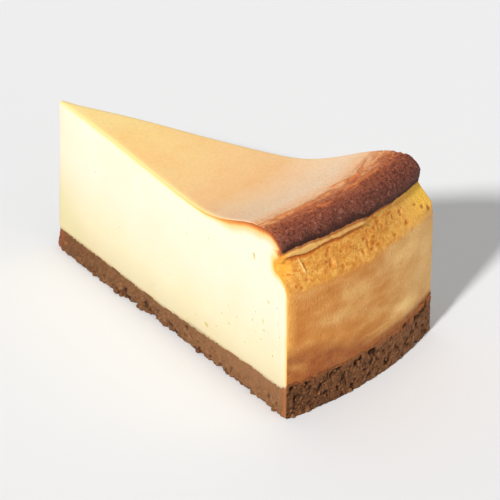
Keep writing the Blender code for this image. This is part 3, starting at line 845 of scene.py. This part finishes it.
def filling_material():
    """Baked cream: ivory where it is cut, browned by degrees over the top and the lip, caramel on the wall."""
    n = Nodes("baked cream cheese")
    rad, arc, hgt, cut, skin = (n.value(k) for k in ("rad", "arc", "hgt", "cut", "skin"))
    where, ring = n.at(), n.round_at()
    broad, mid, fine = n.noise(where, 14, 3), n.noise(where, 4.5, 3), n.noise(where, 1.1, 3, 0.6)

    # the top, from the pale centre to the dark rim
    wobble = n.math("MULTIPLY", n.math("SUBTRACT", n.noise(n.round_at((0.22, 1, 0)), 2.8, 4, 0.65), 0.5), 0.062)
    wobble = n.math("ADD", wobble, n.math("MULTIPLY", n.math("SUBTRACT", n.noise(n.round_at((0.5, 1.6, 0)), 1.2, 3, 0.6), 0.5), 0.040))
    reach = n.math("ADD", rad, n.math("MULTIPLY", wobble, n.ease(rad, 0.55, 0.84, (0.35, 1.0))))
    # browner in the wrinkles' valleys and paler on their crests: partly the skin's own tone, partly painted shade and
    # highlight
    reach = n.math("ADD", reach, n.math("MULTIPLY", n.value("wrinkle"), -0.024))
    reach = n.math("ADD", reach, n.math("MULTIPLY", n.ease(arc, 8, 22), n.ease(rad, 0.84, 0.89, (0.010, -0.014))))
    reach = n.math("ADD", reach, n.ease(arc, -28, -17, (-0.014, 0.0)))
    # the pale tan band from 0.70 to 0.80, on the rising slope, is partly the skin's tan and partly painted sheen
    top = n.ramp(reach, ((0.0, srgb(255, 232, 156)), (0.16, srgb(255, 220, 143)), (0.32, srgb(254, 213, 139)), (0.50, srgb(251, 206, 140)),
                         (0.62, srgb(246, 198, 138)), (0.70, srgb(252, 211, 164)), (0.80, srgb(255, 221, 182)), (0.838, srgb(252, 200, 148)),
                         (0.857, srgb(226, 154, 98)), (0.878, srgb(198, 116, 70)), (0.899, srgb(166, 88, 54)), (0.930, srgb(130, 68, 48)), (0.962, srgb(106, 58, 44))), "LINEAR")
    top = n.mix(n.ease(broad, 0.40, 0.66, (0.0, 0.30)), top, n.mix(1.0, top, srgb(252, 232, 214), "MULTIPLY"))
    top = n.mix(n.ease(mid, 0.5, 0.75, (0.0, 0.22)), top, n.mix(1.0, top, srgb(248, 226, 205), "MULTIPLY"))
    speck = n.math("MULTIPLY", n.ease(n.noise(where, 0.75, 3, 0.75), 0.46, 0.62, (0.0, 1.0)), n.ease(rad, 0.83, 0.94, (0.10, 1.0)))
    top = n.mix(speck, top, n.mix(1.0, top, srgb(172, 150, 138), "MULTIPLY"))
    glint = n.math("MULTIPLY", n.ease(n.noise(n.at((1, 1, 1.3)), 0.9, 3, 0.7), 0.54, 0.66, (0.0, 0.5)), n.ease(rad, 0.86, 0.94))
    top = n.mix(glint, top, srgb(172, 120, 98))
    # pinkish, lighter flecks on the slope: partly the skin's tone, partly painted sheen
    pink_tone_and_sheen = n.math("MULTIPLY", n.ease(n.noise(where, 0.9, 3, 0.7), 0.42, 0.62), n.math("MULTIPLY", n.ease(rad, 0.62, 0.78), n.ease(rad, 0.87, 0.84, (0.0, 0.30))))
    top = n.mix(pink_tone_and_sheen, top, srgb(250, 186, 146))
    # orange on the ridge tops: partly their own tone, partly a painted highlight
    top = n.mix(n.ease(n.value("ridge"), 0.15, 0.9, (0.0, 0.85)), top, srgb(210, 122, 62))
    # pale band along the top's cut edges: partly the skin's pale rounding, partly a painted highlight
    top = n.mix(n.math("MULTIPLY", n.value("rim_pale_and_highlight"), n.ease(rad, 0.86, 0.55, (0.0, 0.80))), top, srgb(244, 214, 144))
    # painted shade: the lip's face is darkened where it curls down under itself
    under = n.ease(hgt, 44.6, 43.0)
    top = n.mix(n.math("MULTIPLY", under, n.math("MULTIPLY", n.ease(rad, 0.93, 0.955), 0.5)), top, srgb(92, 50, 38))
    # near-black along the lip's ragged lower edge: partly burnt skin, partly painted shade where the lip curls under
    top = n.mix(n.math("MULTIPLY", n.value("brim"), n.ease(mid, 0.3, 0.6, (0.75, 1.0))), top, srgb(50, 20, 8))

    # the wall below the lip
    n1 = n.noise(n.round_at((0.7, 1, 1.25)), 6.5, 4, 0.55)
    n2 = n.noise(n.round_at((0.7, 1, 1.3)), 2.4, 4, 0.6)
    tone = n.math("ADD", n.math("MULTIPLY", n1, 0.85), n.math("MULTIPLY", n2, 0.15))
    # lighter towards the far cut and darker towards the near one: partly the skin's tone, partly painted light, as the
    # far wall gets little of the key lamp
    tone = n.math("ADD", tone, n.ease(arc, -27, 27, (-0.10, 0.20), "LINEAR"))
    wall = n.ramp(tone, ((0.30, srgb(190, 116, 46)), (0.48, srgb(204, 136, 64)), (0.66, srgb(222, 166, 96)), (0.80, srgb(228, 178, 110))), "LINEAR")
    pale = n.math("MULTIPLY", n.value("pale"), n.ease(n.noise(n.round_at((0.8, 1, 1.4)), 2.6, 4, 0.6), 0.30, 0.62, (0.55, 1.0)))
    # the honey places are lighter on the far half, and the far end is lightened further: painted light where the key
    # lamp does not reach
    wall = n.mix(n.ease(pale, 0.0, 1.1), wall, n.mix(n.ease(arc, -6, 14), srgb(226, 178, 108), srgb(250, 204, 132)))
    wall = n.mix(n.ease(arc, 6, 26, (0.0, 0.35)), wall, srgb(252, 204, 132))
    edge_glow = n.math("MULTIPLY", n.ease(arc, -24.5, -27.9), n.ease(n2, 0.2, 0.7, (0.5, 0.9)))
    wall = n.mix(edge_glow, wall, srgb(232, 170, 84))
    wall = n.mix(n.math("MULTIPLY", n.value("deep"), n.ease(n2, 0.3, 0.7, (0.65, 1.0))), wall, srgb(148, 76, 32))
    wall = n.mix(n.math("MULTIPLY", n.ease(n.noise(n.round_at((1, 1, 1)), 0.8, 2), 0.62, 0.72, (0.0, 0.30)), 1.0), wall, srgb(184, 112, 52))
    porous = n.ramp(n.noise(n.round_at((1, 1, 1.2)), 1.7, 4, 0.62), ((0.32, srgb(196, 118, 42)), (0.50, srgb(214, 148, 60)), (0.66, srgb(230, 172, 86))), "LINEAR")
    # painted light: the porous shoulder is made bright yellow at its ends, where it tilts up towards the lamps
    painted_sun_patch = n.math("MAXIMUM", n.math("MULTIPLY", n.ease(arc, 15, 27), n.ease(hgt, 33.5, 38.5)),
                   n.math("MULTIPLY", n.ease(arc, -23.5, -28), n.ease(hgt, 35.5, 39.5)))
    # the porous band is lightened towards the far cut: painted light
    porous = n.mix(n.ease(arc, 4, 20, (0.0, 0.58)), porous, srgb(252, 192, 92))
    porous = n.mix(n.math("MULTIPLY", painted_sun_patch, 0.85), porous, n.mix(n.ease(arc, -20, 10), srgb(240, 172, 60), srgb(255, 202, 74)))
    # darker orange-brown in the pores and dents: painted shade in the hollows
    porous = n.mix(n.ease(n.value("pore"), 0.05, 0.8, (0.0, 0.75)), porous, srgb(184, 100, 34))
    wall = n.mix(n.ease(n.value("porous"), 0.2, 0.9), wall, porous)
    wall = n.mix(n.math("MULTIPLY", n.value("strip"), n.ease(mid, 0.3, 0.6, (0.75, 1.0))), wall, srgb(224, 174, 98))
    # orange-brown along the crack and the tear: partly the skin's colour there, partly painted shade in these recesses
    wall = n.mix(n.ease(n.value("crack"), 0.1, 0.9, (0.0, 0.85)), wall, srgb(188, 100, 32))
    # a darker orange band just under the lip's dark edge: partly browning, partly painted shade from the overhang
    wall = n.mix(n.ease(n.value("scorch"), 0.1, 1.0, (0.0, 0.95)), wall, srgb(160, 80, 28))
    # pale slivers of skin; beside the tear the raised edge is also painted pale as a painted highlight
    wall = n.mix(n.ease(n.value("sliver"), 0.2, 0.9, (0.0, 0.9)), wall, srgb(242, 200, 126))
    wall = n.mix(n.value("blister"), wall, srgb(228, 186, 130))
    outer = n.mix(n.ease(n.value("dark"), 0.15, 0.85), wall, top)

    # the cut faces: a browned line under the skin that melts into the cream
    er, ez = n.value("edge_r"), n.value("edge_z")
    # the cream's ivory, painted darker towards the bottom and, near the point, towards its foot: painted shade where
    # less light falls
    cream = n.ramp(n.math("MULTIPLY", hgt, 0.02), ((0.12, srgb(210, 196, 158)), (0.26, srgb(224, 212, 176)), (0.55, srgb(236, 221, 197)), (0.95, srgb(242, 228, 206))), "LINEAR")
    tipward = n.math("MULTIPLY", n.ease(rad, 0.16, 0.0), n.ease(hgt, 30, 8, (0.1, 0.8)))
    cream = n.mix(tipward, cream, srgb(208, 196, 144))
    cream = n.mix(n.ease(n.value("foot"), 1.3, 0.0, (0.0, 0.55)), cream, srgb(206, 170, 116))
    cream = n.mix(n.ease(broad, 0.42, 0.68, (0.0, 0.5)), cream, n.mix(1.0, cream, srgb(254, 250, 240), "MULTIPLY"))
    dots = n.math("MULTIPLY", n.ease(n.cells(where, 2.6), 0.16, 0.06), n.math("MULTIPLY", n.ease(hgt, 36, 12), n.ease(rad, 0.35, 0.75, (0.0, 0.5))))
    cream = n.mix(dots, cream, srgb(228, 210, 156))
    # painted shade inside the cut bubbles
    cream = n.mix(n.ease(n.value("pit"), 0.1, 1.0, (0.0, 0.85)), cream, srgb(184, 176, 98))
    up_side = n.math("MAXIMUM", n.ease(ez, 42.2, 43.8), n.ease(er, 0.90, 0.86))
    width = n.math("ADD", n.math("MULTIPLY", n.ease(er, 0.55, 0.80, (0.85, 1.30)), n.ease(ez, 37.0, 42.0, (0.60, 1.0))), n.math("MULTIPLY", n.math("SUBTRACT", mid, 0.5), 0.8))
    depth = n.math("DIVIDE", skin, width)
    line = n.ramp(er, ((0.0, srgb(244, 212, 138)), (0.48, srgb(240, 200, 122)), (0.62, srgb(238, 180, 88)), (0.72, srgb(216, 132, 52)),
                       (0.80, srgb(184, 96, 38)), (0.88, srgb(154, 72, 34)), (0.96, srgb(112, 52, 32))), "LINEAR")
    low_line = n.ramp(n.math("MULTIPLY", ez, 0.02), ((0.30, srgb(232, 176, 96)), (0.66, srgb(236, 178, 92)), (0.74, srgb(230, 158, 46)), (0.82, srgb(226, 150, 44)), (0.87, srgb(206, 120, 40))), "LINEAR")
    line = n.mix(up_side, low_line, line)
    glow = n.mix(up_side, n.ramp(n.math("MULTIPLY", ez, 0.02), ((0.5, srgb(244, 208, 134)), (0.76, srgb(242, 198, 96))), "LINEAR"),
                 n.ramp(er, ((0.0, srgb(242, 218, 164)), (0.6, srgb(246, 214, 140)), (0.85, srgb(240, 186, 92))), "LINEAR"))
    # near the notch the yellow gradient spreads wider: partly the cooked cream's colour, partly a painted glow of light
    # passing through the thin cream
    notch = n.math("MULTIPLY", n.ease(ez, 34.5, 38.5), n.ease(ez, 44.5, 42.5))
    spread = n.math("ADD", n.ease(ez, 43.0, 41.0, (1.0, 0.6)), n.math("MULTIPLY", notch, n.ease(er, 0.93, 0.95, (0.0, 0.5))))
    soft = n.math("DIVIDE", depth, spread)
    amber = n.mix(up_side, low_line, n.ramp(er, ((0.0, srgb(242, 210, 140)), (0.48, srgb(240, 200, 126)), (0.62, srgb(240, 180, 88)), (0.72, srgb(222, 148, 58)),
                                                 (0.85, srgb(214, 122, 34)), (0.96, srgb(186, 92, 24))), "LINEAR"))
    cutc = n.mix(n.ease(soft, 3.2, 0.9, (0.0, 0.90)), cream, glow)
    cutc = n.mix(n.ease(soft, 1.35, 0.55, (0.0, 1.0)), cutc, amber)
    cutc = n.mix(n.ease(soft, 0.75, 0.05, (0.0, 1.0)), cutc, line)

    colour = n.mix(n.ease(cut, 0.0, 0.9), outer, cutc)
    n.put(n.shader.inputs["Base Color"], colour)

    # satin where the skin is smooth, dry where it is baked dark or torn
    rough = n.math("ADD", n.ease(mid, 0.3, 0.7, (0.40, 0.52)), n.math("MULTIPLY", n.ease(rad, 0.84, 0.93, (0.0, 0.30)), n.math("SUBTRACT", 1.0, cut)))
    rough = n.math("ADD", rough, n.math("MULTIPLY", n.value("porous"), 0.12), clamp=True)
    n.put(n.shader.inputs["Roughness"], rough)
    n.shader.inputs["Specular IOR Level"].default_value = 0.3
    n.shader.inputs["Subsurface Weight"].default_value = 0.15
    n.shader.inputs["Subsurface Scale"].default_value = 0.002
    n.shader.inputs["Subsurface Radius"].default_value = (1.0, 0.65, 0.35)
    leather = n.math("MULTIPLY", n.noise(where, 0.60, 3, 0.62), n.math("MULTIPLY", n.ease(rad, 0.60, 0.92, (0.10, 1.0)), n.math("SUBTRACT", 1.0, cut)))
    n.put(n.shader.inputs["Normal"], n.bump(leather, 0.00045, 0.8))
    return n.material


def crumb_material(name, loose=False):
    """Pressed biscuit crumb: brown grains of several tones, darker between them."""
    n = Nodes(name)
    where = n.at()
    big = n.cells(where, 1.05, "Color")
    small = n.cells(where, 0.52, "Color")
    split = n.node("ShaderNodeSeparateColor")
    n.put(split.inputs[0], big)
    split2 = n.node("ShaderNodeSeparateColor")
    n.put(split2.inputs[0], small)
    tone = n.math("ADD", n.math("MULTIPLY", split.outputs[0], 0.34), n.math("MULTIPLY", split2.outputs[0], 0.40))
    tone = n.math("ADD", tone, n.math("MULTIPLY", n.noise(where, 2.2, 4, 0.6), 0.30))
    if loose:
        tone = n.math("ADD", n.math("MULTIPLY", tone, 0.55), n.math("MULTIPLY", n.value("tone"), 0.45))
    back = n.value("back")
    front = n.ramp(tone, ((0.15, srgb(92, 56, 32)), (0.45, srgb(116, 77, 45)), (0.70, srgb(132, 91, 57)), (0.95, srgb(156, 109, 70))), "LINEAR")
    front = n.mix(n.ease(n.value("rad"), 0.34, 0.05, (0.0, 0.5)), front, n.mix(1.0, front, srgb(214, 200, 190), "MULTIPLY"))
    rear = n.ramp(tone, ((0.15, srgb(68, 40, 20)), (0.45, srgb(98, 62, 34)), (0.70, srgb(124, 82, 48)), (0.95, srgb(164, 112, 66))), "LINEAR")
    rear = n.mix(n.ease(n.value("arc"), -28, 24), n.mix(1.0, rear, srgb(226, 214, 196), "MULTIPLY"), n.mix(0.35, rear, srgb(176, 118, 76)))
    front = n.mix(n.ease(n.value("rad"), 0.40, 0.90, (0.0, 0.45)), front, srgb(156, 108, 68))
    colour = n.mix(back, front, rear)
    if not loose:
        high = n.value("high")
        smear = n.math("MULTIPLY", n.ease(high, 0.35, 0.85), n.math("SUBTRACT", 1.0, back))
        colour = n.mix(n.math("MULTIPLY", smear, 0.55), colour, n.ramp(n.value("rad"), ((0.1, srgb(108, 68, 40)), (0.5, srgb(126, 86, 54)), (0.9, srgb(150, 104, 66))), "LINEAR"))
        toasted = n.math("MULTIPLY", n.math("MULTIPLY", n.ease(high, 0.72, 0.98), back), n.ease(n.value("arc"), -6, 22, (0.25, 0.9)))
        colour = n.mix(toasted, colour, srgb(178, 104, 54))
        orange = n.math("MULTIPLY", n.ease(n.value("rad"), 0.06, 0.0), 0.6)
        colour = n.mix(orange, colour, srgb(156, 82, 42))
        corner = n.math("MULTIPLY", n.ease(n.value("rad"), 0.975, 1.0), n.math("MULTIPLY", n.math("SUBTRACT", 1.0, back), 0.75))
        colour = n.mix(corner, colour, srgb(178, 104, 54))
        # painted shade: the crumb's holes, pits and crevices are darkened
        colour = n.mix(n.ease(n.value("hole"), 0.1, 0.9, (0.0, 0.9)), colour, srgb(52, 28, 16))
        # painted shade: darker where the crumb's relief sinks in
        colour = n.mix(n.ease(n.value("height"), 0.05, -0.45, (0.0, 0.5)), colour, srgb(70, 42, 26))
    bright = n.ease(n.noise(where, 0.45, 2, 0.6), 0.58, 0.70, (0.0, 0.45))
    colour = n.mix(bright, colour, srgb(168, 118, 74))
    n.put(n.shader.inputs["Base Color"], colour)
    n.put(n.shader.inputs["Roughness"], n.ease(n.noise(where, 1.0, 2), 0.3, 0.7, (0.72, 0.92)))
    n.shader.inputs["Specular IOR Level"].default_value = 0.25
    n.put(n.shader.inputs["Normal"], n.bump(n.noise(where, 0.40, 4, 0.7), 0.0004, 0.8))
    return n.material


# ---- the pieces -------------------------------------------------------------------------
shape, points, rim_pale_and_highlight = filling()
wanted = ("cut", "rad", "arc", "hgt", "skin", "edge_r", "edge_z", "dark", "porous", "pore", "crack", "strip", "blister", "pit", "pale", "deep", "wrinkle", "scorch", "brim", "sliver", "ridge", "foot")
piece("cheese_filling_baked", points, shape.faces, dict({k: shape.value(k) for k in wanted}, rim_pale_and_highlight=rim_pale_and_highlight), filling_material(), "cheese_filling")

shape, points = base()
piece("biscuit_base_crumb", points, shape.faces, {k: shape.value(k) for k in ("back", "hole", "rad", "hgt", "arc", "high", "height")},
      crumb_material("pressed biscuit crumb"), "biscuit_base")

shape, points = crumbs()
loose = bpy.data.meshes.new("biscuit_crumbs")
loose.from_pydata((points / 1000 + CENTRE).tolist(), [], shape.faces)
for key in ("tone", "back"):
    loose.attributes.new(key, "FLOAT", "POINT").data.foreach_set("value", shape.value(key).astype(np.float32))
loose.materials.append(crumb_material("loose biscuit crumb", True))
loose.shade_smooth()
grains = bpy.data.objects.new("biscuit_crumbs", loose)
bpy.context.scene.collection.objects.link(grains)
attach(grains, "root")

# ---- floor, light and camera --------------------------------------------------------------
floor_mesh = bpy.data.meshes.new("floor")
floor_mesh.from_pydata([(-3, -3, -0.0001), (3, -3, -0.0001), (3, 3, -0.0001), (-3, 3, -0.0001)], [], [(0, 1, 2, 3)])
floor = bpy.data.objects.new("floor", floor_mesh)
bpy.context.scene.collection.objects.link(floor)
n = Nodes("pale paper")
n.shader.inputs["Base Color"].default_value = (0.84, 0.84, 0.84, 1)
n.shader.inputs["Roughness"].default_value = 0.9
n.shader.inputs["Specular IOR Level"].default_value = 0.1
floor_mesh.materials.append(n.material)

world = bpy.data.worlds.new("studio")
world.use_nodes = True
world.node_tree.nodes["Background"].inputs[0].default_value = (1, 1, 1, 1)
world.node_tree.nodes["Background"].inputs[1].default_value = 0.35
bpy.context.scene.world = world


def lamp(name, azimuth, elevation, angle, strength):
    """A far, even lamp, seen from the slice as a disc that many radians across."""
    a, e = math.radians(azimuth), math.radians(elevation)
    back = Vector((math.sin(a) * math.cos(e), -math.cos(a) * math.cos(e), math.sin(e)))
    light = bpy.data.lights.new(name, "SUN")
    light.angle, light.energy = angle, strength
    made = bpy.data.objects.new(name, light)
    made.location = back
    made.rotation_mode = "QUATERNION"
    made.rotation_quaternion = (-back).to_track_quat("-Z", "Y")
    bpy.context.scene.collection.objects.link(made)


lamp("key", 13, 33, 0.10, 3.30)
lamp("fill", 88, 28, 1.2, 0.42)
lamp("behind", -125, 20, 1.4, 0.30)

az, el, roll = math.radians(39.36), math.radians(29.62), math.radians(0.64)
back = Vector((math.sin(az) * math.cos(el), -math.cos(az) * math.cos(el), math.sin(el)))
right = (-back).cross(Vector((0, 0, 1))).normalized()
up = right.cross(-back)
target = Vector((0.050, 0.0, 0.020)) + Vector(CENTRE) + right * 0.00922 - up * 0.00253
cx, cy = right * math.cos(roll) + up * math.sin(roll), up * math.cos(roll) - right * math.sin(roll)
camera = bpy.data.objects.new("camera", bpy.data.cameras.new("camera"))
camera.data.sensor_width = 36
camera.data.lens = 326.1
camera.data.clip_start, camera.data.clip_end = 0.05, 20
camera.rotation_mode = "QUATERNION"
camera.rotation_quaternion = Matrix((cx, cy, back)).transposed().to_quaternion()
camera.location = target + back * 1.1
bpy.context.scene.collection.objects.link(camera)
bpy.context.scene.camera = camera

view = bpy.context.scene.view_settings
view.view_transform = "Standard"
view.look = "None"
